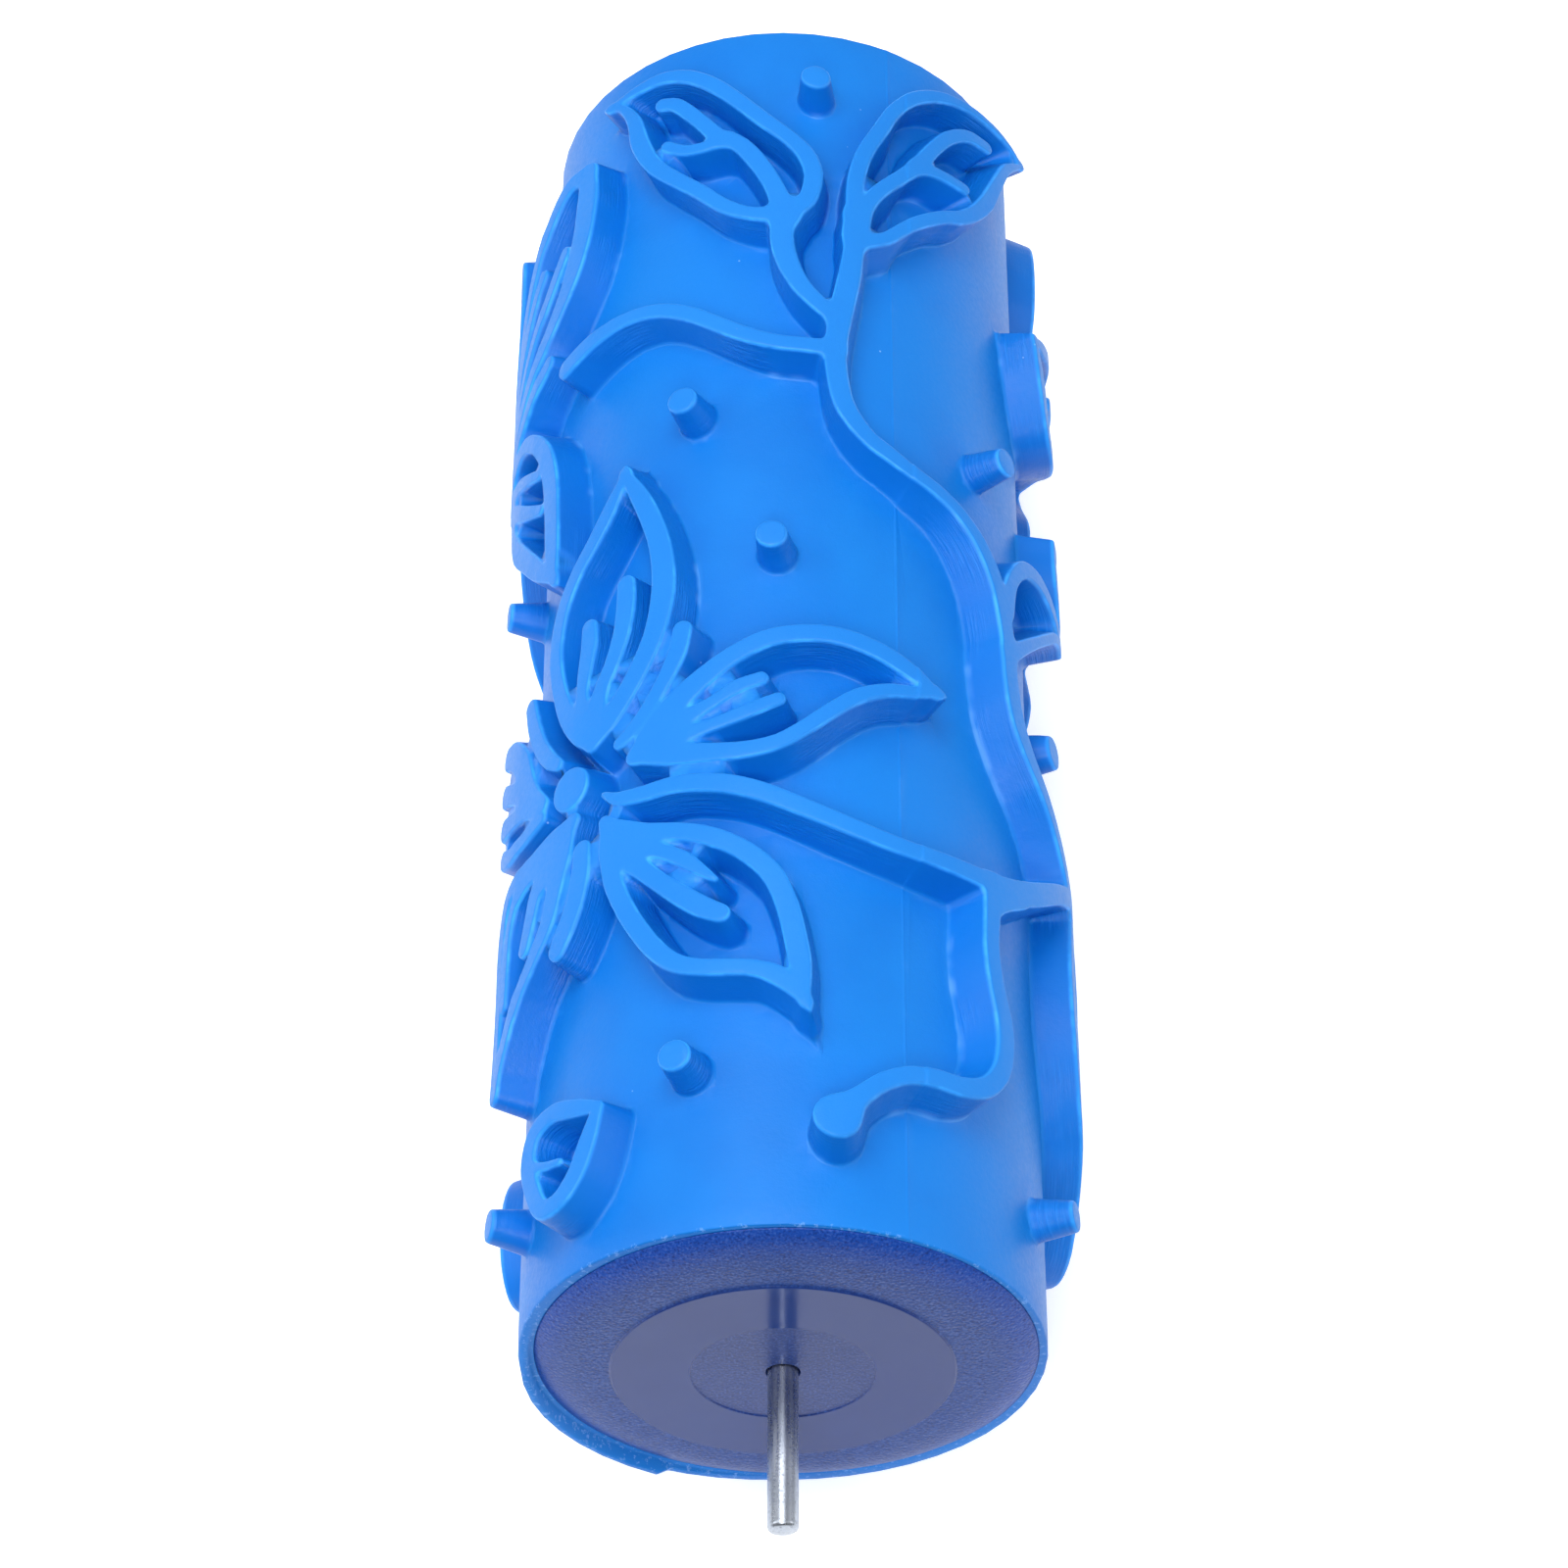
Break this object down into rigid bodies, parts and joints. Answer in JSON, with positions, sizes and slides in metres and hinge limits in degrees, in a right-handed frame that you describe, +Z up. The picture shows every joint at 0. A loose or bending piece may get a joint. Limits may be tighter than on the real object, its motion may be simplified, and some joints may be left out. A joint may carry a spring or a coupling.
{
  "type": "textured pattern roller",
  "caption": "Moulded rubber roller sleeve with a raised flower-and-vine pattern on a plastic core, turning on a fixed steel axle, for printing a repeating texture on walls.",
  "frame": {"origin": "centre of the axle at mid-length, which is also the centre of the rubber sleeve", "axes": "+Y runs along the axle from the front end to the rear end, +Z is up when the roller lies level, +X completes a right-handed set"},
  "size_m": [0.07, 0.223, 0.07],
  "materials": {
    "blue_rubber": "satin bright blue moulded rubber",
    "core_plastic": "matte grey, rigid, unseen",
    "cap_plastic": "navy, smooth ring inside a fine-pebbled rim",
    "nylon": "natural nylon, unseen",
    "zinc_steel": "bright zinc plated",
    "spring_steel": "dark spring steel, unseen",
    "washer_plastic": "black acetal, unseen"
  },
  "bodies": {
    "axle": {"axle": "zinc_steel", "front_push_nut": "spring_steel", "rear_push_nut": "spring_steel", "front_thrust_washer": "washer_plastic", "rear_thrust_washer": "washer_plastic"},
    "roller": {"rubber_sleeve": "blue_rubber", "core_tube": "core_plastic", "front_end_cap": "cap_plastic", "rear_end_cap": "cap_plastic", "front_hub_bush": "nylon", "rear_hub_bush": "nylon"}
  },
  "joints": [
    {"name": "roller_spin", "type": "hinge", "parent": "axle", "child": "roller", "pos_m": [0, 0, 0], "axis": [0, 1, 0], "continuous": true}
  ]
}
